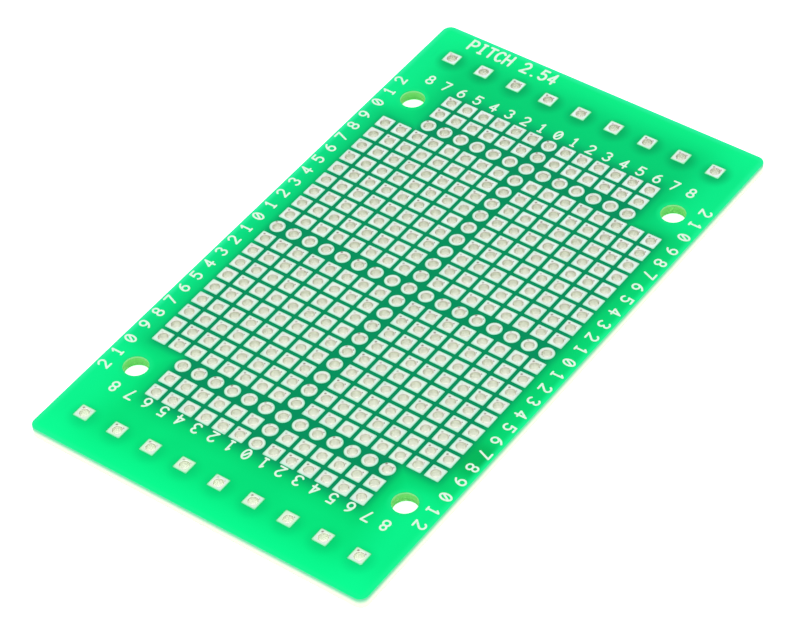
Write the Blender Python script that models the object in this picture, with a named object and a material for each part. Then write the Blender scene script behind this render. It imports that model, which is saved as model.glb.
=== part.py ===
"""Double-sided prototyping board with a 0.1 inch grid of plated holes and two rows of terminal holes.

The board lies flat: +X is its width, +Y its length, +Z its component side. The origin is the centre of its
underside, level with the lower faces of its pads. The laminate is drilled for every hole. The plated holes that
are built are the square ones of the two terminal rows and the round ones of the grid's zero row and zero column.
"""

import math

import bmesh
import bpy

MM = 0.001

# Driving dimensions of the board
BOARD_WIDTH = 49.4 * MM
BOARD_LENGTH = 86.2 * MM
BOARD_THICKNESS = 1.6 * MM
CORNER_RADIUS = 1.2 * MM

# Grid of plated holes: columns -8 to 8, rows -12 to 12, with three rows cut short at each mounting hole
GRID_PITCH = 2.54 * MM
GRID_COLUMNS = 8
GRID_ROWS = 12
SHORT_ROW_COLUMNS = 6
FULL_ROWS = 9

# The zero row and zero column have round pads, and so do the tenth rows that cross the zero column
TENTH_ROW = 10

# Terminal holes: one row near each end, at twice the grid pitch
TERMINAL_PITCH = 2 * GRID_PITCH
TERMINALS_EACH_SIDE = 4
TERMINAL_ROW_Y = 37.8 * MM

# Pads, round or square, and the plated bores through them
PAD_WIDTH = 2.03 * MM
BORE_RADIUS = 0.6 * MM
PLATING = 0.04 * MM

# Mounting holes for M3 screws
MOUNTING_HOLE_X = 20.0 * MM
MOUNTING_HOLE_Y = 28.5 * MM
MOUNTING_HOLE_RADIUS = 1.6 * MM

# Layers, from the underside up. Bonded layers keep the bond line as a gap.
BOND_LINE = 0.01 * MM
PAD_THICKNESS = 0.07 * MM
MASK_THICKNESS = 0.04 * MM
LAMINATE_BOTTOM = PAD_THICKNESS + BOND_LINE
LAMINATE_TOP = BOARD_THICKNESS - LAMINATE_BOTTOM

# Clearances of the solder mask
MASK_EDGE_SETBACK = 0.1 * MM
MASK_PAD_CLEARANCE = 0.06 * MM
MASK_HOLE_CLEARANCE = 0.15 * MM
FIELD_MARGIN = PAD_WIDTH / 2 + 0.25 * MM

# Facets
CORNER_STEPS = 6
MOUNTING_HOLE_SIDES = 32
ROUND_PAD_SIDES = 12
TERMINAL_BORE_SIDES = 8
GRID_BORE_SIDES = 6
SHARP_ANGLE = math.radians(65)


def clear_scene():
    """Remove every object of the open file."""
    for obj in list(bpy.data.objects):
        bpy.data.objects.remove(obj)


def make_material(name, color, roughness, metallic=0.0):
    """A Principled BSDF of one colour."""
    material = bpy.data.materials.new(name)
    material.use_nodes = True
    shader = material.node_tree.nodes["Principled BSDF"]
    shader.inputs["Base Color"].default_value = (*color, 1.0)
    shader.inputs["Roughness"].default_value = roughness
    shader.inputs["Metallic"].default_value = metallic
    return material


def polygon(x, y, circumradius, sides):
    """Corners of a regular polygon that stands on a flat side."""
    step = 2 * math.pi / sides
    return [
        (x + circumradius * math.cos((k + 0.5) * step), y + circumradius * math.sin((k + 0.5) * step))
        for k in range(sides)
    ]


def drilled(x, y, radius, sides):
    """A hole whose flats touch a circle of this radius, so that a round part still passes."""
    return polygon(x, y, radius / math.cos(math.pi / sides), sides)


def square(x, y, width):
    """Corners of an upright square."""
    return drilled(x, y, width / 2, 4)


def rounded_rectangle(width, length, radius):
    """Corners of the board's outline, its four round corners in CORNER_STEPS steps each."""
    outline = []
    for quarter, (sx, sy) in enumerate(((1, 1), (-1, 1), (-1, -1), (1, -1))):
        centre_x = sx * (width / 2 - radius)
        centre_y = sy * (length / 2 - radius)
        for k in range(CORNER_STEPS + 1):
            turn = (quarter + k / CORNER_STEPS) * math.pi / 2
            outline.append((centre_x + radius * math.cos(turn), centre_y + radius * math.sin(turn)))
    return outline


def grid_positions():
    """(x, y) of every plated hole of the grid."""
    positions = []
    for row in range(-GRID_ROWS, GRID_ROWS + 1):
        reach = GRID_COLUMNS if abs(row) <= FULL_ROWS else SHORT_ROW_COLUMNS
        positions += [(column * GRID_PITCH, row * GRID_PITCH) for column in range(-reach, reach + 1)]
    return positions


def terminal_positions(end):
    """(x, y) of the terminal holes at the rear end (1) or the front end (-1), left to right."""
    numbers = range(-TERMINALS_EACH_SIDE, TERMINALS_EACH_SIDE + 1)
    return [(number * TERMINAL_PITCH, end * TERMINAL_ROW_Y) for number in numbers]


def mounting_positions():
    """(x, y) of the four mounting holes."""
    return [(sx * MOUNTING_HOLE_X, sy * MOUNTING_HOLE_Y) for sy in (1, -1) for sx in (-1, 1)]


def field_outline():
    """Outline of the window that the solder mask leaves for the grid: a rectangle with stepped corners."""
    wide = GRID_COLUMNS * GRID_PITCH + FIELD_MARGIN
    narrow = SHORT_ROW_COLUMNS * GRID_PITCH + FIELD_MARGIN
    tall = GRID_ROWS * GRID_PITCH + FIELD_MARGIN
    step = FULL_ROWS * GRID_PITCH + FIELD_MARGIN
    upper = [(wide, step), (narrow, step), (narrow, tall), (-narrow, tall), (-narrow, step), (-wide, step)]
    return upper + [(-x, -y) for x, y in upper]


def make_mesh(name, bm, material):
    """Turn a closed bmesh into a mesh of one material, smooth across its facets and sharp at its edges."""
    bmesh.ops.recalc_face_normals(bm, faces=bm.faces)
    mesh = bpy.data.meshes.new(name)
    bm.to_mesh(mesh)
    bm.free()
    mesh.shade_smooth()
    mesh.set_sharp_from_angle(angle=SHARP_ANGLE)
    mesh.materials.append(material)
    return mesh


def place(name, mesh, x=0.0, y=0.0):
    """A node that shows this mesh at (x, y)."""
    obj = bpy.data.objects.new(name, mesh)
    obj.location = (x, y, 0)
    bpy.context.scene.collection.objects.link(obj)


def add_loop(bm, outline, z):
    """A closed loop of edges at one height; returns its vertices and edges."""
    corners = [bm.verts.new((x, y, z)) for x, y in outline]
    edges = [bm.edges.new(pair) for pair in zip(corners, corners[1:] + corners[:1])]
    return corners, edges


def plate(name, outlines, bottom, top, material):
    """A flat sheet: the first outline is its edge and the others are its holes."""
    bm = bmesh.new()
    for outline in outlines:
        add_loop(bm, outline, bottom)
    bmesh.ops.triangle_fill(bm, use_beauty=True, edges=bm.edges[:])
    raised = bmesh.ops.extrude_face_region(bm, geom=bm.faces[:], use_keep_orig=True)
    raised_corners = [item for item in raised["geom"] if isinstance(item, bmesh.types.BMVert)]
    bmesh.ops.translate(bm, verts=raised_corners, vec=(0, 0, top - bottom))
    place(name, make_mesh(name, bm, material))


def wall(bm, lower, upper):
    """Join two loops of equal count with upright faces."""
    count = len(lower)
    for k in range(count):
        bm.faces.new((lower[k], lower[(k + 1) % count], upper[(k + 1) % count], upper[k]))


def plated_hole(name, pad, bore_sides, material):
    """One plated hole, as a hollow rivet: a pad of this outline on each face and the barrel that joins them."""
    bore = drilled(0, 0, BORE_RADIUS, bore_sides)
    barrel = drilled(0, 0, BORE_RADIUS + PLATING, bore_sides)
    # Each level is (height, the inner loop that its ring-shaped face surrounds)
    levels = (
        (0.0, bore),
        (PAD_THICKNESS, barrel),
        (BOARD_THICKNESS - PAD_THICKNESS, barrel),
        (BOARD_THICKNESS, bore),
    )
    bm = bmesh.new()
    outer_loops, inner_loops = [], []
    for height, inner in levels:
        outer_corners, outer_edges = add_loop(bm, pad, height)
        inner_corners, inner_edges = add_loop(bm, inner, height)
        bmesh.ops.triangle_fill(bm, use_beauty=True, edges=outer_edges + inner_edges)
        outer_loops.append(outer_corners)
        inner_loops.append(inner_corners)
    wall(bm, outer_loops[0], outer_loops[1])
    wall(bm, outer_loops[2], outer_loops[3])
    wall(bm, inner_loops[1], inner_loops[2])
    wall(bm, inner_loops[0], inner_loops[3])
    return make_mesh(name, bm, material)


def make_laminate(material):
    """Glass-epoxy core, drilled for every plated hole and every mounting hole."""
    drill_radius = BORE_RADIUS + PLATING + BOND_LINE
    outlines = [rounded_rectangle(BOARD_WIDTH, BOARD_LENGTH, CORNER_RADIUS)]
    outlines += [drilled(x, y, MOUNTING_HOLE_RADIUS, MOUNTING_HOLE_SIDES) for x, y in mounting_positions()]
    outlines += [
        drilled(x, y, drill_radius, TERMINAL_BORE_SIDES) for end in (1, -1) for x, y in terminal_positions(end)
    ]
    outlines += [drilled(x, y, drill_radius, GRID_BORE_SIDES) for x, y in grid_positions()]
    plate("laminate", outlines, LAMINATE_BOTTOM, LAMINATE_TOP, material)


def make_mask(name, bottom, material):
    """Lacquer film over one face of the laminate, with windows for the pads and the mounting holes."""
    setback = 2 * MASK_EDGE_SETBACK
    window = PAD_WIDTH + 2 * MASK_PAD_CLEARANCE
    hole = MOUNTING_HOLE_RADIUS + MASK_HOLE_CLEARANCE
    outlines = [rounded_rectangle(BOARD_WIDTH - setback, BOARD_LENGTH - setback, CORNER_RADIUS)]
    outlines += [drilled(x, y, hole, MOUNTING_HOLE_SIDES) for x, y in mounting_positions()]
    outlines += [square(x, y, window) for end in (1, -1) for x, y in terminal_positions(end)]
    outlines.append(field_outline())
    plate(name, outlines, bottom, bottom + MASK_THICKNESS, material)


def make_terminals(material):
    """The plated terminal holes, all sharing one mesh, numbered from the left in each row."""
    mesh = plated_hole("terminal_pad", square(0, 0, PAD_WIDTH), TERMINAL_BORE_SIDES, material)
    for end, end_name in ((1, "rear"), (-1, "front")):
        for number, (x, y) in enumerate(terminal_positions(end), start=1):
            place(f"terminal_pad_{end_name}_{number}", mesh, x, y)


def make_zero_lines(material):
    """The round plated holes of the zero row, numbered from the left, and of the zero column, from the front."""
    mesh = plated_hole("round_pad", drilled(0, 0, PAD_WIDTH / 2, ROUND_PAD_SIDES), GRID_BORE_SIDES, material)
    for column in range(-GRID_COLUMNS, GRID_COLUMNS + 1):
        place(f"zero_row_pad_{column + GRID_COLUMNS + 1}", mesh, column * GRID_PITCH, 0)
    for row in range(-GRID_ROWS, GRID_ROWS + 1):
        if row != 0 and abs(row) != TENTH_ROW:
            place(f"zero_column_pad_{row + GRID_ROWS + 1}", mesh, 0, row * GRID_PITCH)


def main():
    clear_scene()
    laminate = make_material("laminate", (0.45, 0.52, 0.18), 0.6)
    mask = make_material("solder_mask", (0.0, 0.42, 0.14), 0.3)
    tin = make_material("tinned_copper", (0.78, 0.80, 0.74), 0.35, metallic=1.0)
    make_laminate(laminate)
    make_mask("solder_mask_top", LAMINATE_TOP + BOND_LINE, mask)
    make_mask("solder_mask_bottom", LAMINATE_BOTTOM - BOND_LINE - MASK_THICKNESS, mask)
    make_terminals(tin)
    make_zero_lines(tin)


main()
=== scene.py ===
"""Looks of the prototyping board: tinned pads, green lacquer, bare edges and a white printed legend."""

import math

import bmesh
import bpy
from mathutils import Matrix, Vector


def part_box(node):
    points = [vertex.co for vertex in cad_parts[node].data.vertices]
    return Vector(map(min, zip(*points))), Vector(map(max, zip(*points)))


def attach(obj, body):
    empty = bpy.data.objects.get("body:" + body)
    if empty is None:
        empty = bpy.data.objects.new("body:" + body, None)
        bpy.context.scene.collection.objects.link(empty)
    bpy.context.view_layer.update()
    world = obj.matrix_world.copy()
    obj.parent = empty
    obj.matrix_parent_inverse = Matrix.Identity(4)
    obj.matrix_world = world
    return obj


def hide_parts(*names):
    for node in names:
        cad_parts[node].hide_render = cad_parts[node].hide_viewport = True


MM = 0.001
TAU = 2 * math.pi

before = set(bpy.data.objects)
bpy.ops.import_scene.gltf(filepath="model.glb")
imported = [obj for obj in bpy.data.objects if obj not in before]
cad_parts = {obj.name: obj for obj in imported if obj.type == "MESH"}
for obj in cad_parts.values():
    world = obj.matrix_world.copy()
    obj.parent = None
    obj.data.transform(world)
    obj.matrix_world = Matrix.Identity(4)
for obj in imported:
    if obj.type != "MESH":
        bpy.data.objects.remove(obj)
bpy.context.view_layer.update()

# The board, in the frame of the CAD
LAMINATE_LOW, LAMINATE_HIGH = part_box("laminate")
TOP_FILM_LOW, TOP_FILM_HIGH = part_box("solder_mask_top")
BOTTOM_FILM_LOW, BOTTOM_FILM_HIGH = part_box("solder_mask_bottom")
PAD_LOW, PAD_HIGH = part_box("terminal_pad_rear_1")
WIDTH = LAMINATE_HIGH.x - LAMINATE_LOW.x
LENGTH = LAMINATE_HIGH.y - LAMINATE_LOW.y
CORNER_RADIUS = 1.2 * MM
CORNER_STEPS = 12

# Grid of plated holes and rows of terminal holes
PITCH = 2.54 * MM
COLUMNS = 8
ROWS = 12
SHORT_ROW_COLUMNS = 6
FULL_ROWS = 9
TENTH_ROW = 10
TERMINAL_PITCH = 2 * PITCH
TERMINALS_EACH_SIDE = 4
TERMINAL_Y = (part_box("terminal_pad_rear_1")[0].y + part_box("terminal_pad_rear_1")[1].y) / 2

# Mounting holes
HOLE_X = 20.0 * MM
HOLE_Y = 28.5 * MM
HOLE_RADIUS = 1.6 * MM
HOLE_POINTS = 64

# Pads and barrels
PAD_HALF = 1.02 * MM
PAD_CORNER = 0.14 * MM
PAD_LIFT = 0.005 * MM
BORE_RADIUS = 0.62 * MM
LIP_RADIUS = 0.09 * MM
PLATING = 0.035 * MM
RING_POINTS = 24
DRILL_CLEARANCE = 0.01 * MM
DRILL_POINTS = 12
PAD_PLACE = "place_on_pad"
PAD_SHARE = "share_inwards"

# Clearances of the lacquer films, and the points of their windows
FILM_SETBACK = 0.05 * MM
FILM_CLEARANCE = 0.03 * MM
FILM_HOLE_CLEARANCE = 0.03 * MM
WINDOW_CORNER_STEPS = 2
ROUND_WINDOW_POINTS = 24

# Legend; heights are between the middles of the top and bottom strokes
DIGIT_HEIGHT = 1.5 * MM
STROKE = 0.25 * MM
INK_THICKNESS = 0.012 * MM
INK_LIFT = 0.001 * MM
INK_STEP = 0.001 * MM
REAR_DIGITS_X, REAR_DIGITS_Y = -0.1 * MM, 32.8 * MM
FRONT_DIGITS_X, FRONT_DIGITS_Y = 0.03 * MM, -32.52 * MM
LEFT_DIGITS_X, RIGHT_DIGITS_X = -23.5 * MM, 23.42 * MM
SIDE_DIGITS_Y = 0.18 * MM
DIGIT_PITCH = 2.508 * MM
TITLE = "PITCH 2.54"
TITLE_HEIGHT = 1.85 * MM
TITLE_WIDTH_SHARE = 0.86
TITLE_STROKE = 0.33 * MM
TITLE_LEFT = -20.0 * MM
TITLE_Y = 41.4 * MM
TITLE_ADVANCE = 1.39 * MM
GLYPH_MIDDLE_X, GLYPH_MIDDLE_Y = 0.3, 0.5
CAP_STEPS = 5
SMALLEST_MITRE = 0.45

# Painted shade of the grid in the lacquer; each fade is its reach past the grid's sides and past its ends
WIDE_GRID = (COLUMNS * PITCH + PAD_HALF, FULL_ROWS * PITCH + PAD_HALF)
LONG_GRID = (SHORT_ROW_COLUMNS * PITCH + PAD_HALF, ROWS * PITCH + PAD_HALF)
GRID_SHADE_X, GRID_SHADE_Y = 0.15 * MM, -0.12 * MM
NEAR_WIDE_FADE, NEAR_LONG_FADE = (2.6 * MM, 2.6 * MM), (2.6 * MM, 3.8 * MM)
OVER_WIDE_FADE, OVER_LONG_FADE = (1.0 * MM, 1.2 * MM), (1.0 * MM, 2.0 * MM)
OVER_FADE_START = -0.9 * MM

# Painted shadow of each terminal pad in the lacquer
TERMINAL_SHADOW_X, TERMINAL_SHADOW_Y = 0.3 * MM, -0.45 * MM
TERMINAL_SHADOW_CORE, TERMINAL_SHADOW_REACH = 0.7 * MM, 2.6 * MM
TERMINAL_SHADOW_ROW_START, TERMINAL_SHADOW_ROW_END = 2.3 * MM, 2.8 * MM
TERMINAL_SHADOW_AT_FRONT, TERMINAL_SHADOW_AT_REAR = 0.25, 0.68

# Painted glow in the lacquer; the lands lie between the mounting holes and the corners
SIDE_GLOW = 4.0 * MM
END_GLOW, END_GLOW_FULL = 6.0 * MM, 0.5 * MM
LAND_X_START, LAND_X_FULL = 16.5 * MM, 22.5 * MM
LAND_Y_START, LAND_Y_FULL = 23.5 * MM, 28.0 * MM
HOLE_GLOW = 0.8 * MM
RIM_GLOW = 1.0 * MM
CORE_RIM_GLOW = 0.6 * MM
# Reach of the painted light that is paler towards the rear left
SLANT_REACH = 0.3 * WIDTH
PATCH_X, PATCH_Y, PATCH_RADIUS = 23.2 * MM, -18.6 * MM, 4.2 * MM
SPOT_CORE = 0.3

# Tin; each speck is its place from the pad's centre and its radius
SPECKS = ((-0.56 * MM, 0.6 * MM, 0.23 * MM), (0.48 * MM, 0.54 * MM, 0.18 * MM))
FRONT_ROW_START, FRONT_ROW_FULL = 6.0 * MM, 2.0 * MM
# Reach of the painted green reflection on the terminals' shoulders
TERMINAL_REFLECTION_START, TERMINAL_REFLECTION_FULL = 4.0 * MM, 2.0 * MM
SHOULDER_SHARE, SHOULDER_FULL_SHARE = 0.5, 0.05
BORE_START, BORE_FULL = 0.02 * MM, 0.15 * MM
# Depths of the painted light near each end of a bore and the painted shade in its middle
BORE_LIGHT_DEPTH, BORE_SHADE_DEPTH = 0.2 * MM, 0.6 * MM

# Studio
FLOOR_HALF = 1.5
FLOOR_GAP = 0.02 * MM
FLOOR_GLOW = 0.7
ROOM_LIGHT = 0.95
LAMP_PLACE = (-0.08, -0.28, 0.34)
LAMP_SIZE = 0.3
LAMP_POWER = 0.12

# Camera
AIM = Vector((1.66, -4.18, 1.6)) * MM
CAMERA_AZIMUTH = math.radians(39.21)
CAMERA_ELEVATION = math.radians(45.27)
CAMERA_ROLL = math.radians(-4.6)
CAMERA_DISTANCE = 393.0 * MM
CAMERA_LENS = 145.74
CAMERA_SENSOR = 36.0
CAMERA_NEAR = 10.0 * MM


# ---------------------------------------------------------------- shader helpers


class Nodes:
    """Short calls for building a material's node tree."""

    def __init__(self, name):
        self.material = bpy.data.materials.new(name)
        self.material.use_nodes = True
        self.tree = self.material.node_tree
        self.shader = self.tree.nodes["Principled BSDF"]
        self.place = self.tree.nodes.new("ShaderNodeTexCoord").outputs["Object"]

    def set(self, **values):
        """Set the shader's own sockets; an underscore stands for a space."""
        for name, value in values.items():
            self.shader.inputs[name.replace("_", " ")].default_value = value

    def wire(self, source, target):
        self.tree.links.new(source, target)

    def color(self, color):
        self.wire(color, self.shader.inputs["Base Color"])

    def roughness(self, factor, low, high):
        self.wire(self.between(factor, low, high), self.shader.inputs["Roughness"])

    def math(self, operation, *values):
        node = self.tree.nodes.new("ShaderNodeMath")
        node.operation = operation
        for slot, value in zip(node.inputs, values):
            if isinstance(value, (int, float)):
                slot.default_value = value
            else:
                self.wire(value, slot)
        return node.outputs[0]

    def split(self):
        """The object's own coordinates, one by one."""
        node = self.tree.nodes.new("ShaderNodeSeparateXYZ")
        self.wire(self.place, node.inputs[0])
        return node.outputs

    def attribute(self, name, output):
        node = self.tree.nodes.new("ShaderNodeAttribute")
        node.attribute_name = name
        return node.outputs[output]

    def spot(self, place, x, y, radius, z=0.0):
        """1 near a point, fading to 0 at the radius."""
        node = self.tree.nodes.new("ShaderNodeVectorMath")
        node.operation = "DISTANCE"
        self.wire(place, node.inputs[0])
        node.inputs[1].default_value = (x, y, z)
        return self.ramp(node.outputs["Value"], radius, radius * SPOT_CORE)

    def noise(self, scale, detail=3.0, roughness=0.5, stretch=None):
        """Noise over the object's own coordinates, with scale in waves a metre."""
        node = self.tree.nodes.new("ShaderNodeTexNoise")
        node.inputs["Scale"].default_value = scale
        node.inputs["Detail"].default_value = detail
        node.inputs["Roughness"].default_value = roughness
        place = self.place
        if stretch:
            mapping = self.tree.nodes.new("ShaderNodeMapping")
            mapping.inputs["Scale"].default_value = stretch
            self.wire(place, mapping.inputs["Vector"])
            place = mapping.outputs["Vector"]
        self.wire(place, node.inputs["Vector"])
        return node.outputs["Fac"]

    def waves(self, scale, axis, distortion=0.0):
        node = self.tree.nodes.new("ShaderNodeTexWave")
        node.bands_direction = axis
        node.inputs["Scale"].default_value = scale
        node.inputs["Distortion"].default_value = distortion
        self.wire(self.place, node.inputs["Vector"])
        return node.outputs["Fac"]

    def ramp(self, factor, low, high, smooth=True):
        """0 on the low side and 1 on the high side; low may be the larger of the two."""
        node = self.tree.nodes.new("ShaderNodeMapRange")
        node.interpolation_type = "SMOOTHSTEP" if smooth else "LINEAR"
        node.inputs["From Min"].default_value = low
        node.inputs["From Max"].default_value = high
        self.wire(factor, node.inputs["Value"])
        return node.outputs["Result"]

    def between(self, factor, low, high):
        """Spread a 0 to 1 value over a range."""
        node = self.tree.nodes.new("ShaderNodeMapRange")
        node.inputs["To Min"].default_value = low
        node.inputs["To Max"].default_value = high
        self.wire(factor, node.inputs["Value"])
        return node.outputs["Result"]

    def mix(self, factor, first, second):
        """The first colour where the factor is 0 and the second where it is 1."""
        node = self.tree.nodes.new("ShaderNodeMix")
        node.data_type = "RGBA"
        self.wire(factor, node.inputs["Factor"])
        for slot, value in ((node.inputs["A"], first), (node.inputs["B"], second)):
            if isinstance(value, tuple):
                slot.default_value = (*value, 1.0)
            else:
                self.wire(value, slot)
        return node.outputs["Result"]

    def tint(self, color, mask, share, other):
        """Lay a share of another colour over a colour, where the mask is 1."""
        return self.mix(self.math("MULTIPLY", mask, share), color, other)

    def bump(self, height, distance, strength):
        node = self.tree.nodes.new("ShaderNodeBump")
        node.inputs["Strength"].default_value = strength
        node.inputs["Distance"].default_value = distance
        self.wire(height, node.inputs["Height"])
        self.wire(node.outputs["Normal"], self.shader.inputs["Normal"])


def linear(value):
    """Linear light from one 0 to 255 display value."""
    share = value / 255
    return share / 12.92 if value <= 10 else ((share + 0.055) / 1.055) ** 2.4


def srgb(red, green, blue):
    """Linear colour from 0 to 255 display values."""
    return (linear(red), linear(green), linear(blue))


def length(nodes, across, along):
    """The hypotenuse over two legs."""
    squares = nodes.math("ADD", nodes.math("POWER", across, 2.0), nodes.math("POWER", along, 2.0))
    return nodes.math("SQRT", squares)


def toward_rear(nodes, y):
    """0 at the front end of the board and 1 at its rear end."""
    return nodes.ramp(y, -LENGTH / 2, LENGTH / 2, smooth=False)


def inside_box(nodes, x, y, half, start, fade):
    """1 inside a centred rectangle, fading to 0 from a start to a reach beyond its sides and its ends."""
    across = nodes.ramp(nodes.math("SUBTRACT", x, half[0]), fade[0], start)
    along = nodes.ramp(nodes.math("SUBTRACT", y, half[1]), fade[1], start)
    return nodes.math("MULTIPLY", across, along)


def over_grid(nodes, out, start, wide_fade, long_fade):
    """1 over the grid of pads, which is a wide box and a long box, fading to 0 around it."""
    x = nodes.math("ABSOLUTE", nodes.math("SUBTRACT", out["X"], GRID_SHADE_X))
    y = nodes.math("ABSOLUTE", nodes.math("SUBTRACT", out["Y"], GRID_SHADE_Y))
    wide = inside_box(nodes, x, y, WIDE_GRID, start, wide_fade)
    long = inside_box(nodes, x, y, LONG_GRID, start, long_fade)
    return nodes.math("MAXIMUM", wide, long)


def near_terminal(nodes, out):
    """1 over the middle of a terminal pad's painted shadow, fading to 0 around it."""
    whole_pitches = 10 * TERMINAL_PITCH
    beyond = nodes.math("ADD", out["X"], whole_pitches - TERMINAL_SHADOW_X)
    along = nodes.math("PINGPONG", beyond, TERMINAL_PITCH / 2)
    row_y = nodes.math("MULTIPLY", nodes.math("SIGN", out["Y"]), TERMINAL_Y)
    across = nodes.math("SUBTRACT", nodes.math("SUBTRACT", out["Y"], row_y), TERMINAL_SHADOW_Y)
    last = TERMINALS_EACH_SIDE * TERMINAL_PITCH
    x = nodes.math("ABSOLUTE", out["X"])
    in_row = nodes.ramp(x, last + TERMINAL_SHADOW_ROW_END, last + TERMINAL_SHADOW_ROW_START)
    away = length(nodes, along, across)
    return nodes.math("MULTIPLY", in_row, nodes.ramp(away, TERMINAL_SHADOW_REACH, TERMINAL_SHADOW_CORE))


def near_rim(nodes, x, y, width):
    """1 at the board's outline, fading to 0 this far inside it; x and y are from the centre lines."""
    across = nodes.math("MAXIMUM", nodes.math("SUBTRACT", x, WIDTH / 2 - CORNER_RADIUS), 0.0)
    along = nodes.math("MAXIMUM", nodes.math("SUBTRACT", y, LENGTH / 2 - CORNER_RADIUS), 0.0)
    return nodes.ramp(length(nodes, across, along), CORNER_RADIUS - width, CORNER_RADIUS)


def near_hole(nodes, x, y, width):
    """1 at the rim of a mounting hole, fading to 0 this far outside it."""
    away = length(nodes, nodes.math("SUBTRACT", x, HOLE_X), nodes.math("SUBTRACT", y, HOLE_Y))
    return nodes.ramp(away, HOLE_RADIUS + width, HOLE_RADIUS)


def front_row(nodes, y):
    """1 along the front row of terminals and 0 behind it: the tin there has its own tone, and its bores and
    lips are painted lighter.
    """
    return nodes.ramp(y, -TERMINAL_Y + FRONT_ROW_START, -TERMINAL_Y + FRONT_ROW_FULL)


# ---------------------------------------------------------------- materials


def lacquer_glow(nodes, x, y, rear, rear_left):
    """Plain lacquer, softly clouded, under painted light: darker towards the rear, with a painted glow at
    the board's sides, ends and corner lands.
    """
    cloud = nodes.ramp(nodes.noise(110.0, 2.0), 0.35, 0.65)
    side = nodes.ramp(x, WIDTH / 2 - SIDE_GLOW, WIDTH / 2)
    end = nodes.ramp(y, LENGTH / 2 - END_GLOW, LENGTH / 2 - END_GLOW_FULL)
    in_land_x = nodes.ramp(x, LAND_X_START, LAND_X_FULL)
    in_land_y = nodes.ramp(y, LAND_Y_START, LAND_Y_FULL)
    land = nodes.math("MULTIPLY", in_land_x, in_land_y)
    side_color = nodes.mix(rear_left, srgb(4, 216, 112), srgb(12, 234, 150))
    end_color = nodes.mix(rear, srgb(2, 251, 143), srgb(4, 240, 135))
    land_color = nodes.mix(rear, srgb(6, 255, 150), srgb(8, 250, 146))

    # Painted light, lighter at the front than at the rear, under the painted glow
    color = nodes.mix(rear, srgb(0, 232, 125), srgb(0, 210, 118))
    color = nodes.tint(color, cloud, 0.25, srgb(0, 208, 113))
    color = nodes.tint(color, side, 0.45, side_color)
    color = nodes.mix(end, color, end_color)
    return nodes.tint(color, land, 0.6, land_color)


def lacquer_shade(nodes, out, color, rear, rear_left):
    """Painted shade in the lacquer near the copper, which blocks light from below, and a darker patch on
    the right.
    """
    patch = nodes.spot(nodes.place, PATCH_X, PATCH_Y, PATCH_RADIUS, TOP_FILM_HIGH.z)
    # Painted shadows of the terminal pads, stronger towards the rear
    terminal_shadow_strength = nodes.between(rear, TERMINAL_SHADOW_AT_FRONT, TERMINAL_SHADOW_AT_REAR)
    terminal_shadow = nodes.math("MULTIPLY", near_terminal(nodes, out), terminal_shadow_strength)
    # Painted shade around the grid and, darker still, between its pads
    near_grid = over_grid(nodes, out, 0.0, NEAR_WIDE_FADE, NEAR_LONG_FADE)
    near_color = nodes.mix(rear_left, srgb(0, 180, 86), srgb(0, 184, 110))
    between_pads = over_grid(nodes, out, OVER_FADE_START, OVER_WIDE_FADE, OVER_LONG_FADE)

    color = nodes.tint(color, patch, 0.8, srgb(0, 174, 84))
    color = nodes.mix(terminal_shadow, color, srgb(0, 158, 88))
    color = nodes.tint(color, near_grid, 0.38, near_color)
    return nodes.mix(between_pads, color, srgb(0, 145, 93))


def lacquer_material(name):
    """Green lacquer over translucent laminate, with painted light and shade: a painted glow at the board's
    edges and painted shade between the pads.
    """
    nodes = Nodes(name)
    out = nodes.split()
    x = nodes.math("ABSOLUTE", out["X"])
    y = nodes.math("ABSOLUTE", out["Y"])
    # Painted light across the board, from the front to the rear and from the front right to the rear left
    rear = toward_rear(nodes, out["Y"])
    slant = nodes.math("SUBTRACT", nodes.math("MULTIPLY", out["Y"], WIDTH / LENGTH), out["X"])
    rear_left = nodes.ramp(slant, -SLANT_REACH, SLANT_REACH)
    color = lacquer_glow(nodes, x, y, rear, rear_left)
    color = lacquer_shade(nodes, out, color, rear, rear_left)
    # Painted glow round the mounting holes and along the outline
    color = nodes.mix(near_hole(nodes, x, y, HOLE_GLOW), color, srgb(16, 233, 133))
    rim_color = nodes.mix(rear_left, srgb(22, 249, 150), srgb(46, 247, 166))
    nodes.color(nodes.mix(near_rim(nodes, x, y, RIM_GLOW), color, rim_color))
    nodes.roughness(nodes.noise(400.0, 4.0), 0.3, 0.46)
    nodes.set(Specular_IOR_Level=0.02)
    orange_peel = nodes.noise(1500.0, 3.0)
    nodes.bump(orange_peel, 0.006 * MM, 0.6)
    return nodes.material


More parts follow.
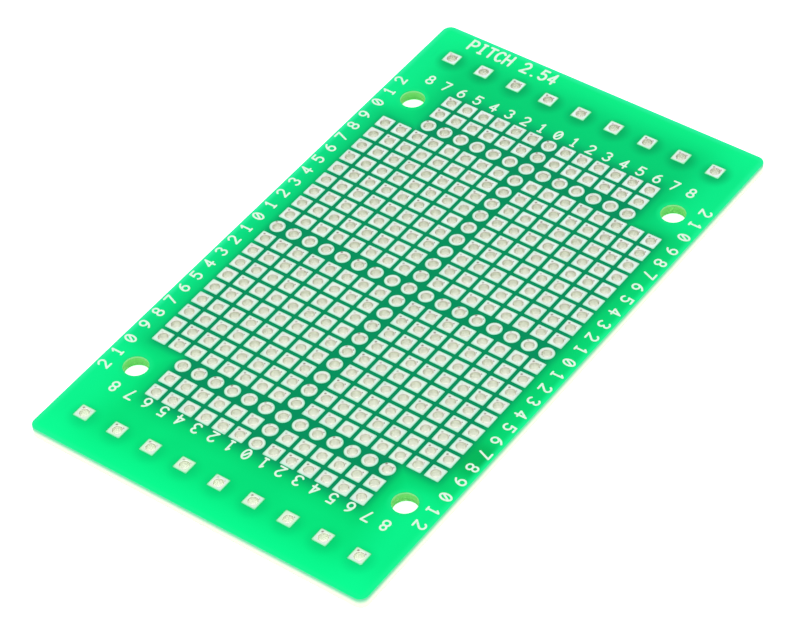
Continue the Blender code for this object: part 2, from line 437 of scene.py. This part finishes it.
def pad_color(nodes, out, rear, mottle):
    """Solder-levelled tin on the pads, softly uneven, with a painted green reflection on its shoulder and
    flux specks.
    """
    clean = nodes.mix(rear, srgb(233, 251, 230), srgb(242, 255, 253))
    clean = nodes.mix(front_row(nodes, out["Y"]), clean, srgb(224, 252, 220))
    blotch = nodes.ramp(nodes.noise(420.0, 2.0), 0.4, 0.66)
    color = nodes.mix(blotch, clean, srgb(226, 246, 234))
    rosy = nodes.ramp(nodes.noise(850.0, 3.0), 0.5, 0.7)
    color = nodes.tint(color, rosy, 0.6, srgb(250, 242, 236))
    color = nodes.mix(nodes.ramp(mottle, 0.6, 0.75), color, srgb(216, 220, 210))

    # Painted reflection: the sloping shoulder of the solder shows the green around the pad, most in the
    # terminal rows
    share = nodes.attribute(PAD_SHARE, "Fac")
    shoulder = nodes.ramp(share, SHOULDER_SHARE, SHOULDER_FULL_SHARE)
    y = nodes.math("ABSOLUTE", out["Y"])
    in_terminals = nodes.ramp(y, TERMINAL_Y - TERMINAL_REFLECTION_START, TERMINAL_Y - TERMINAL_REFLECTION_FULL)
    green = nodes.mix(rear, srgb(168, 242, 212), srgb(190, 246, 224))
    green = nodes.mix(in_terminals, green, srgb(132, 246, 182))
    color = nodes.mix(shoulder, color, green)

    # Where the levelled solder drew back from the bore, beyond its rear rim
    place = nodes.attribute(PAD_PLACE, "Vector")
    speck = nodes.math("MAXIMUM", *(nodes.spot(place, *speck) for speck in SPECKS))
    patchy = nodes.ramp(nodes.noise(330.0, 2.0), 0.36, 0.6)
    return nodes.mix(nodes.math("MULTIPLY", speck, patchy), color, srgb(160, 150, 138))


def tin_material():
    """Tin on the pads and down the bores, where painted light runs from a bright band to a painted-shade
    middle, lighter in the front row.
    """
    nodes = Nodes("tin")
    out = nodes.split()
    mottle = nodes.noise(1700.0, 4.0, 0.6)
    color = pad_color(nodes, out, toward_rear(nodes, out["Y"]), mottle)
    above = nodes.math("SUBTRACT", PAD_HIGH.z, out["Z"])
    below = nodes.math("SUBTRACT", out["Z"], PAD_LOW.z)
    depth = nodes.math("MINIMUM", above, below)
    # Painted shade in the middle of the bores, lighter in the front row, and a painted bright band at each
    # end
    middle = nodes.mix(front_row(nodes, out["Y"]), srgb(216, 220, 206), srgb(224, 232, 212))
    bore = nodes.mix(nodes.ramp(depth, BORE_LIGHT_DEPTH, BORE_SHADE_DEPTH), srgb(238, 240, 228), middle)
    nodes.color(nodes.mix(nodes.ramp(depth, BORE_START, BORE_FULL), color, bore))
    nodes.roughness(mottle, 0.2, 0.5)
    nodes.set(Metallic=1.0)
    nodes.bump(nodes.noise(900.0, 3.0), 0.03 * MM, 0.7)
    return nodes.material


def lip_material():
    """The rolled edge of each bore: thin tin with a little flux, with painted shade that greys it towards
    the rear and painted light along the front row.
    """
    nodes = Nodes("bore_lip")
    out = nodes.split()
    stain = nodes.noise(900.0, 3.0)
    # Painted shade, greyer towards the rear, and painted light along the front row
    color = nodes.mix(toward_rear(nodes, out["Y"]), srgb(250, 246, 240), srgb(220, 212, 204))
    color = nodes.tint(color, nodes.ramp(stain, 0.3, 0.7), 0.5, srgb(236, 230, 222))
    nodes.color(nodes.mix(front_row(nodes, out["Y"]), color, srgb(252, 255, 242)))
    nodes.roughness(stain, 0.3, 0.55)
    nodes.set(Metallic=1.0)
    return nodes.material


def edge_material():
    """Routed edge of the laminate: pale glass-epoxy plies with fibre ends, minty under the lacquer."""
    nodes = Nodes("laminate_edge")
    out = nodes.split()
    plies = nodes.waves(1200.0, "Z", 1.5)
    fibres = nodes.noise(2600.0, 4.0, 0.6, stretch=(1.0, 1.0, 0.2))
    below = nodes.math("SUBTRACT", LAMINATE_HIGH.z, out["Z"])
    color = nodes.mix(nodes.ramp(plies, 0.2, 0.8), srgb(229, 233, 213), srgb(222, 227, 204))
    color = nodes.mix(nodes.ramp(fibres, 0.6, 0.8), color, srgb(214, 222, 192))
    nodes.color(nodes.mix(nodes.ramp(below, 0.9 * MM, 0.0), color, srgb(110, 222, 172)))
    nodes.roughness(fibres, 0.5, 0.8)
    nodes.bump(fibres, 0.02 * MM, 0.6)
    return nodes.material


def hole_material():
    """Drilled wall of a mounting hole: green, with painted light pale at the upper rim and painted shade
    darker towards the underside.
    """
    nodes = Nodes("laminate_hole")
    out = nodes.split()
    rings = nodes.waves(1500.0, "Z", 2.0)
    fibres = nodes.noise(1500.0, 4.0, 0.6)
    below = nodes.math("SUBTRACT", LAMINATE_HIGH.z, out["Z"])
    # Painted shade, darker towards the underside
    color = nodes.mix(nodes.ramp(below, 0.1 * MM, 1.3 * MM), srgb(127, 234, 118), srgb(76, 188, 72))
    color = nodes.mix(nodes.ramp(fibres, 0.56, 0.72), color, srgb(166, 226, 140))
    color = nodes.tint(color, nodes.ramp(rings, 0.5, 0.9), 0.25, srgb(120, 200, 96))
    # Painted light at the upper rim
    nodes.color(nodes.mix(nodes.ramp(below, 0.35 * MM, 0.0), color, srgb(164, 255, 166)))
    nodes.roughness(fibres, 0.45, 0.75)
    nodes.bump(rings, 0.01 * MM, 0.5)
    return nodes.material


def core_material():
    """Face of the laminate under the films: glass weave in green epoxy, with a painted glow along the
    outline.
    """
    nodes = Nodes("laminate_face")
    out = nodes.split()
    x = nodes.math("ABSOLUTE", out["X"])
    y = nodes.math("ABSOLUTE", out["Y"])
    weave = nodes.math("MULTIPLY", nodes.waves(380.0, "X"), nodes.waves(380.0, "Y"))
    color = nodes.mix(weave, srgb(112, 230, 126), srgb(134, 238, 140))
    # Painted glow along the board's outline
    nodes.color(nodes.mix(near_rim(nodes, x, y, CORE_RIM_GLOW), color, srgb(112, 252, 190)))
    nodes.roughness(weave, 0.4, 0.6)
    nodes.bump(weave, 0.01 * MM, 0.5)
    return nodes.material


def ink_material():
    """Screen-printed white legend, slightly uneven and letting a little green through."""
    nodes = Nodes("legend_ink")
    screen = nodes.noise(3200.0, 3.0, 0.6)
    nodes.color(nodes.mix(nodes.ramp(screen, 0.45, 0.8), srgb(230, 252, 236), srgb(190, 240, 208)))
    nodes.roughness(screen, 0.55, 0.8)
    nodes.set(Specular_IOR_Level=0.3)
    nodes.bump(screen, 0.004 * MM, 0.5)
    return nodes.material


# ---------------------------------------------------------------- outlines


def arc(centre_x, centre_y, radius_x, radius_y, start, end, steps):
    """Points along an elliptical arc, in degrees."""
    turns = [math.radians(start + (end - start) * k / steps) for k in range(steps + 1)]
    return [(centre_x + radius_x * math.cos(t), centre_y + radius_y * math.sin(t)) for t in turns]


def circle(x, y, radius, count, offset=0.0):
    """Points round a circle, the first of them an offset of steps past its right side."""
    turns = [TAU * (k + offset) / count for k in range(count)]
    return [(x + radius * math.cos(turn), y + radius * math.sin(turn)) for turn in turns]


def rounded_box(x, y, half_x, half_y, radius, steps):
    """A rounded rectangle, counter-clockwise from its right side."""
    points = []
    for quarter, (sx, sy) in enumerate(((1, 1), (-1, 1), (-1, -1), (1, -1))):
        centre = (x + sx * (half_x - radius), y + sy * (half_y - radius))
        points += arc(*centre, radius, radius, quarter * 90, quarter * 90 + 90, steps)
    return points


def grid_row(row):
    """Columns of one row of the grid."""
    reach = COLUMNS if abs(row) <= FULL_ROWS else SHORT_ROW_COLUMNS
    return range(-reach, reach + 1)


def is_round(column, row):
    """Pads on the centre column, the centre row and the tenth rows are round."""
    return column == 0 or row == 0 or abs(row) == TENTH_ROW


def grid_pads():
    """(x, y, round) of every pad of the grid."""
    return [
        (column * PITCH, row * PITCH, is_round(column, row))
        for row in range(-ROWS, ROWS + 1)
        for column in grid_row(row)
    ]


def terminals(end):
    """Places of the terminal holes at the rear end, 1, or the front end, -1."""
    numbers = range(-TERMINALS_EACH_SIDE, TERMINALS_EACH_SIDE + 1)
    return [(number * TERMINAL_PITCH, end * TERMINAL_Y) for number in numbers]


def mounting_holes():
    return [(sx * HOLE_X, sy * HOLE_Y) for sy in (1, -1) for sx in (-1, 1)]


# ---------------------------------------------------------------- meshes


def new_piece(name, bm, *materials):
    """A piece from a bmesh, riding on the board."""
    bmesh.ops.recalc_face_normals(bm, faces=bm.faces)
    mesh = bpy.data.meshes.new(name)
    bm.to_mesh(mesh)
    bm.free()
    for material in materials:
        mesh.materials.append(material)
    piece = bpy.data.objects.new(name, mesh)
    bpy.context.scene.collection.objects.link(piece)
    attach(piece, "root")
    return piece


def add_loop(bm, points, z):
    corners = [bm.verts.new((x, y, z)) for x, y in points]
    for pair in zip(corners, corners[1:] + corners[:1]):
        bm.edges.new(pair)


def sheet_between(outlines, low, high):
    """A flat sheet with straight walls: the first outline is its edge, the rest are its holes."""
    bm = bmesh.new()
    for outline in outlines:
        add_loop(bm, outline, low)
    bmesh.ops.triangle_fill(bm, use_beauty=True, edges=bm.edges[:])
    raised = bmesh.ops.extrude_face_region(bm, geom=bm.faces[:], use_keep_orig=True)
    corners = [item for item in raised["geom"] if isinstance(item, bmesh.types.BMVert)]
    bmesh.ops.translate(bm, verts=corners, vec=(0, 0, high - low))
    return bm


def is_wall(face):
    return abs(face.normal.z) < 0.5


def make_laminate():
    """The drilled plate: its two faces, its routed edge and its drilled walls each have a material."""
    drill = BORE_RADIUS + PLATING + DRILL_CLEARANCE
    outlines = [rounded_box(0, 0, WIDTH / 2, LENGTH / 2, CORNER_RADIUS, CORNER_STEPS)]
    outlines += [circle(x, y, HOLE_RADIUS, HOLE_POINTS) for x, y in mounting_holes()]
    outlines += [circle(x, y, drill, DRILL_POINTS) for end in (1, -1) for x, y in terminals(end)]
    outlines += [circle(x, y, drill, DRILL_POINTS) for x, y, _ in grid_pads()]
    bm = sheet_between(outlines, LAMINATE_LOW.z, LAMINATE_HIGH.z)
    bmesh.ops.recalc_face_normals(bm, faces=bm.faces)
    for face in bm.faces:
        if is_wall(face):
            spot = face.calc_center_median()
            outside = abs(spot.x) > WIDTH / 2 - CORNER_RADIUS or abs(spot.y) > LENGTH / 2 - CORNER_RADIUS
            face.material_index = 1 if outside else 2
            face.smooth = True
    piece = new_piece("laminate_core", bm, core_material(), edge_material(), hole_material())
    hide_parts("laminate")


def window(x, y, is_circle):
    """Outline of the opening in a lacquer film round one pad."""
    half = PAD_HALF + FILM_CLEARANCE
    if is_circle:
        return circle(x, y, half, ROUND_WINDOW_POINTS)
    return rounded_box(x, y, half, half, PAD_CORNER, WINDOW_CORNER_STEPS)


def make_film(name, node, low, high):
    """One lacquer film, with a window for every pad and mounting hole."""
    half_x = WIDTH / 2 - FILM_SETBACK
    half_y = LENGTH / 2 - FILM_SETBACK
    hole = HOLE_RADIUS + FILM_HOLE_CLEARANCE
    outlines = [rounded_box(0, 0, half_x, half_y, CORNER_RADIUS - FILM_SETBACK, CORNER_STEPS)]
    outlines += [circle(x, y, hole, HOLE_POINTS) for x, y in mounting_holes()]
    outlines += [window(x, y, False) for end in (1, -1) for x, y in terminals(end)]
    outlines += [window(x, y, is_circle) for x, y, is_circle in grid_pads()]
    piece = new_piece(name, sheet_between(outlines, low, high), lacquer_material(name))
    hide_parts(node)


def pad_profile():
    """Rings of a plated hole from the underside of its top pad, over the pad, through the bore and back.

    Each ring is (share of the way from the pad's outline to the bore, radius beyond the bore, height).
    """
    rise = PAD_HIGH.z
    seat = LAMINATE_HIGH.z + PAD_LIFT
    half = [
        (0.0, 0.0, seat),
        (0.0, 0.0, rise - 0.035 * MM),
        (0.05, 0.0, rise - 0.012 * MM),
        (0.16, 0.0, rise - 0.003 * MM),
        (0.5, 0.0, rise),
        (1.0, LIP_RADIUS, rise - 0.004 * MM),
        (1.0, LIP_RADIUS * 0.5, rise - 0.02 * MM),
        (1.0, LIP_RADIUS * 0.13, rise - 0.06 * MM),
        (1.0, 0.0, rise - 0.12 * MM),
    ]
    middle = (PAD_HIGH.z + PAD_LOW.z) / 2
    lower = [(share, extra, 2 * middle - z) for share, extra, z in reversed(half)]
    shell = [(1.0, PLATING, 2 * middle - seat), (1.0, PLATING, seat)]
    return half + lower + shell


def add_plated_hole(bm, x, y, is_circle, profile):
    """One conductor: a pad on each face and the barrel that joins them, as one closed ring."""
    half_step = 0.5
    bore = circle(0, 0, 1.0, RING_POINTS, half_step)
    if is_circle:
        outline = circle(0, 0, PAD_HALF, RING_POINTS, half_step)
    else:
        outline = rounded_box(0, 0, PAD_HALF, PAD_HALF, PAD_CORNER, RING_POINTS // 4 - 1)
    centre = Vector((x, y))
    place = bm.verts.layers.float_vector.get(PAD_PLACE)
    inwards = bm.verts.layers.float.get(PAD_SHARE)
    rings = []
    for share, extra, z in profile:
        ring = []
        for outer, unit in zip(outline, bore):
            spot = Vector(outer).lerp(Vector(unit) * (BORE_RADIUS + extra), share)
            vert = bm.verts.new((*(centre + spot), z))
            vert[place] = (*spot, 0)
            vert[inwards] = share
            ring.append(vert)
        rings.append(ring)
    for k, (share, extra, _) in enumerate(profile):
        following = (k + 1) % len(profile)
        next_share, next_extra, _ = profile[following]
        lip = share == next_share == 1.0 and max(extra, next_extra) >= LIP_RADIUS * 0.5
        first, second = rings[k], rings[following]
        for j in range(RING_POINTS):
            beside = (j + 1) % RING_POINTS
            face = bm.faces.new((first[j], first[beside], second[beside], second[j]))
            face.smooth = True
            face.material_index = 1 if lip else 0


def pad_mesh():
    """An empty mesh that holds each point's place on its own pad and its share of the way to the bore."""
    bm = bmesh.new()
    bm.verts.layers.float_vector.new(PAD_PLACE)
    bm.verts.layers.float.new(PAD_SHARE)
    return bm


def make_pads(tin, lip):
    """The grid's plated holes, one piece for each row, and one piece for each terminal hole."""
    profile = pad_profile()
    for row in range(-ROWS, ROWS + 1):
        bm = pad_mesh()
        for column in grid_row(row):
            add_plated_hole(bm, column * PITCH, row * PITCH, is_round(column, row), profile)
        piece = new_piece(f"grid_pads_row_{row + ROWS + 1:02d}", bm, tin, lip)
        if row == 0:
            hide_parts(*(f"zero_row_pad_{column + COLUMNS + 1}" for column in grid_row(row)))
        elif abs(row) != TENTH_ROW:
            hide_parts(f"zero_column_pad_{row + ROWS + 1}")
    for end, end_name in ((1, "rear"), (-1, "front")):
        for number, (x, y) in enumerate(terminals(end), start=1):
            bm = pad_mesh()
            add_plated_hole(bm, x, y, False, profile)
            piece = new_piece(f"terminal_{end_name}_{number}", bm, tin, lip)
            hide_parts(f"terminal_pad_{end_name}_{number}")


# ---------------------------------------------------------------- legend


def open_strokes(*strokes):
    return [(points, False) for points in strokes]


def glyphs():
    """Strokes of each character in a cell one unit high; each is (points, closed).

    Most sharp corners are where two strokes meet.
    """
    return {
        "0": [
            (arc(0.3, 0.5, 0.3, 0.5, 90, 450, 20)[:-1], True),
            ([(0.14, 0.22), (0.46, 0.78)], False),
        ],
        "1": open_strokes([(0.12, 0.8), (0.3, 1.0)], [(0.3, 1.0), (0.3, 0.0)], [(0.14, 0.0), (0.46, 0.0)]),
        "2": open_strokes(
            arc(0.3, 0.72, 0.28, 0.28, 160, -40, 10) + [(0.02, 0.0)],
            [(0.02, 0.0), (0.6, 0.0)],
        ),
        "3": open_strokes(
            arc(0.28, 0.76, 0.27, 0.24, 150, -70, 9),
            arc(0.28, 0.27, 0.3, 0.27, 70, -150, 10),
        ),
        "4": open_strokes(
            [(0.44, 0.97), (0.02, 0.3)],
            [(0.02, 0.3), (0.62, 0.3)],
            [(0.44, 0.0), (0.44, 1.0)],
        ),
        "5": open_strokes(
            [(0.54, 1.0), (0.1, 1.0), (0.05, 0.56)],
            [(0.05, 0.56)] + arc(0.28, 0.32, 0.3, 0.32, 105, -145, 11),
        ),
        "6": [
            (arc(0.3, 0.3, 0.28, 0.3, 0, 360, 16)[:-1], True),
            (arc(0.62, 0.3, 0.6, 0.7, 180, 108, 7), False),
        ],
        "7": open_strokes([(0.0, 1.0), (0.58, 1.0)], [(0.58, 1.0), (0.2, 0.0)]),
        "8": [
            (arc(0.3, 0.75, 0.24, 0.25, 90, 450, 14)[:-1], True),
            (arc(0.3, 0.26, 0.29, 0.26, 90, 450, 16)[:-1], True),
        ],
        "9": [
            (arc(0.3, 0.7, 0.28, 0.3, 0, 360, 16)[:-1], True),
            (arc(-0.02, 0.7, 0.6, 0.7, 0, -72, 7), False),
        ],
        "P": open_strokes(
            arc(0.3, 0.73, 0.3, 0.27, 90, -90, 8) + [(0.0, 0.46)],
            [(0.3, 1.0), (0.0, 1.0), (0.0, 0.0)],
        ),
        "I": open_strokes([(0.3, 0.0), (0.3, 1.0)], [(0.16, 0.0), (0.44, 0.0)], [(0.16, 1.0), (0.44, 1.0)]),
        "T": open_strokes([(0.0, 1.0), (0.6, 1.0)], [(0.3, 1.0), (0.3, 0.0)]),
        "C": open_strokes(arc(0.34, 0.5, 0.34, 0.5, 45, 315, 14)),
        "H": open_strokes([(0.0, 0.0), (0.0, 1.0)], [(0.6, 0.0), (0.6, 1.0)], [(0.0, 0.52), (0.6, 0.52)]),
        ".": open_strokes([(0.28, 0.0), (0.32, 0.0)]),
        " ": [],
    }


def offset_sides(points, closed, half):
    """The two sides of a stroke, mitred at its corners."""
    count = len(points)
    left, right = [], []
    for k, here in enumerate(points):
        before = points[(k - 1) % count] if closed or k > 0 else None
        after = points[(k + 1) % count] if closed or k < count - 1 else None
        arriving = (here - before).normalized() if before is not None else (after - here).normalized()
        leaving = (after - here).normalized() if after is not None else arriving
        middle = arriving + leaving
        middle = middle.normalized() if middle.length > 1e-6 else leaving
        across = Vector((-middle.y, middle.x))
        normal = Vector((-arriving.y, arriving.x))
        reach = half / max(across.dot(normal), SMALLEST_MITRE)
        left.append(here + across * reach)
        right.append(here - across * reach)
    return left, right


def round_cap(end, towards, half):
    """Half a circle round the end of a stroke, from its left side to its right side."""
    start = math.atan2(towards.y, towards.x) + math.pi / 2
    turns = [start - math.pi * k / CAP_STEPS for k in range(1, CAP_STEPS)]
    return [end + half * Vector((math.cos(turn), math.sin(turn))) for turn in turns]


def add_stroke(bm, points, closed, width, low, high):
    """One stroke of ink as a closed ribbon, with a round cap at each free end."""
    half = width / 2
    left, right = offset_sides(points, closed, half)

    def raised(flat):
        return [(bm.verts.new((*point, low)), bm.verts.new((*point, high))) for point in flat]

    left_pairs, right_pairs = raised(left), raised(right)
    count = len(points)
    spans = count if closed else count - 1
    for k in range(spans):
        left_low, left_high = left_pairs[k]
        right_low, right_high = right_pairs[k]
        next_left_low, next_left_high = left_pairs[(k + 1) % count]
        next_right_low, next_right_high = right_pairs[(k + 1) % count]
        bm.faces.new((left_high, right_high, next_right_high, next_left_high))
        bm.faces.new((left_low, next_left_low, next_right_low, right_low))
        bm.faces.new((left_low, left_high, next_left_high, next_left_low))
        bm.faces.new((right_low, next_right_low, next_right_high, right_high))
    if closed:
        return
    ends = (
        (points[-1], points[-1] - points[-2], left_pairs[-1], right_pairs[-1]),
        (points[0], points[0] - points[1], right_pairs[0], left_pairs[0]),
    )
    for end, towards, first, last in ends:
        rim = [first, *raised(round_cap(end, towards, half)), last]
        bm.faces.new([pair[1] for pair in rim])
        bm.faces.new([pair[0] for pair in reversed(rim)])
        for one, other in zip(rim, rim[1:]):
            bm.faces.new((one[0], other[0], other[1], one[1]))


def add_text(bm, shapes, text, centre, turn, height, width, advance=0.0, narrow=1.0):
    """Print a string centred on a point, turned by an angle in degrees.

    The strokes of a character have their tops at different heights, so that no two of them coincide.
    """
    low = TOP_FILM_HIGH.z + INK_LIFT
    spin = Matrix.Rotation(math.radians(turn), 2)
    start = -advance * (len(text) - 1) / 2
    for k, letter in enumerate(text):
        middle = start + k * advance
        for level, (points, closed) in enumerate(shapes[letter]):
            flat = [
                Vector((middle + (x - GLYPH_MIDDLE_X) * height * narrow, (y - GLYPH_MIDDLE_Y) * height))
                for x, y in points
            ]
            placed = [Vector(centre) + spin @ point for point in flat]
            add_stroke(bm, placed, closed, width, low, low + INK_THICKNESS + level * INK_STEP)


def side_number_y(row):
    """Place of a row's number. The full rows' numbers stand a little closer together than the rows."""
    return SIDE_DIGITS_Y + row * (DIGIT_PITCH if abs(row) <= FULL_ROWS else PITCH)


def make_legend(ink):
    """Row and column numbers on the four sides of the grid, their tops facing outwards, and a title."""
    shapes = glyphs()
    strips = {"rear": bmesh.new(), "front": bmesh.new(), "left": bmesh.new(), "right": bmesh.new()}
    for column in range(-COLUMNS, COLUMNS + 1):
        text = str(abs(column))
        rear = (REAR_DIGITS_X + column * DIGIT_PITCH, REAR_DIGITS_Y)
        front = (FRONT_DIGITS_X + column * DIGIT_PITCH, FRONT_DIGITS_Y)
        add_text(strips["rear"], shapes, text, rear, 0, DIGIT_HEIGHT, STROKE)
        add_text(strips["front"], shapes, text, front, 180, DIGIT_HEIGHT, STROKE)
    for row in range(-ROWS, ROWS + 1):
        text = str(abs(row) % 10)
        left = (LEFT_DIGITS_X, side_number_y(row))
        right = (RIGHT_DIGITS_X, side_number_y(row))
        add_text(strips["left"], shapes, text, left, 90, DIGIT_HEIGHT, STROKE)
        add_text(strips["right"], shapes, text, right, -90, DIGIT_HEIGHT, STROKE)
    for side, bm in strips.items():
        new_piece(f"legend_{side}", bm, ink)
    bm = bmesh.new()
    middle = (TITLE_LEFT + TITLE_ADVANCE * len(TITLE) / 2, TITLE_Y)
    add_text(bm, shapes, TITLE, middle, 0, TITLE_HEIGHT, TITLE_STROKE, TITLE_ADVANCE, TITLE_WIDTH_SHARE)
    new_piece("legend_title", bm, ink)


# ---------------------------------------------------------------- studio


def make_floor():
    """White paper under the board, bright enough to burn out."""
    nodes = Nodes("floor_paper")
    tone = nodes.noise(8.0, 2.0)
    color = nodes.mix(tone, srgb(252, 252, 252), srgb(255, 255, 255))
    nodes.color(color)
    nodes.wire(color, nodes.shader.inputs["Emission Color"])
    nodes.set(Roughness=0.9, Emission_Strength=FLOOR_GLOW)
    bm = bmesh.new()
    bmesh.ops.create_grid(bm, x_segments=1, y_segments=1, size=FLOOR_HALF)
    mesh = bpy.data.meshes.new("floor")
    bm.to_mesh(mesh)
    bm.free()
    mesh.materials.append(nodes.material)
    floor = bpy.data.objects.new("floor", mesh)
    floor.location.z = -FLOOR_GAP
    bpy.context.scene.collection.objects.link(floor)


def make_lights():
    """An even white room, and one large soft lamp above the front."""
    world = bpy.data.worlds.new("studio")
    world.use_nodes = True
    background = world.node_tree.nodes["Background"]
    background.inputs["Color"].default_value = (1.0, 1.0, 1.0, 1.0)
    background.inputs["Strength"].default_value = ROOM_LIGHT
    bpy.context.scene.world = world
    lamp = bpy.data.lights.new("softbox", "AREA")
    lamp.shape = "DISK"
    lamp.size = LAMP_SIZE
    lamp.energy = LAMP_POWER
    holder = bpy.data.objects.new("softbox", lamp)
    holder.location = LAMP_PLACE
    holder.rotation_euler = (-holder.location).to_track_quat("-Z", "Y").to_euler()
    bpy.context.scene.collection.objects.link(holder)


def make_camera():
    """Long lens from the front right, looking down at the board."""
    away = Vector((
        math.sin(CAMERA_AZIMUTH) * math.cos(CAMERA_ELEVATION),
        -math.cos(CAMERA_AZIMUTH) * math.cos(CAMERA_ELEVATION),
        math.sin(CAMERA_ELEVATION),
    ))
    data = bpy.data.cameras.new("camera")
    data.lens = CAMERA_LENS
    data.sensor_width = CAMERA_SENSOR
    data.clip_start = CAMERA_NEAR
    camera = bpy.data.objects.new("camera", data)
    upright = (-away).to_track_quat("-Z", "Y").to_matrix()
    turned = upright @ Matrix.Rotation(CAMERA_ROLL, 3, "Z")
    camera.matrix_world = Matrix.Translation(AIM + away * CAMERA_DISTANCE) @ turned.to_4x4()
    bpy.context.scene.collection.objects.link(camera)
    bpy.context.scene.camera = camera


def main():
    bpy.context.scene.view_settings.view_transform = "Standard"
    make_camera()
    make_floor()
    make_lights()
    make_laminate()
    make_film("lacquer_top", "solder_mask_top", TOP_FILM_LOW.z, TOP_FILM_HIGH.z)
    make_film("lacquer_bottom", "solder_mask_bottom", BOTTOM_FILM_LOW.z, BOTTOM_FILM_HIGH.z)
    make_pads(tin_material(), lip_material())
    make_legend(ink_material())


main()
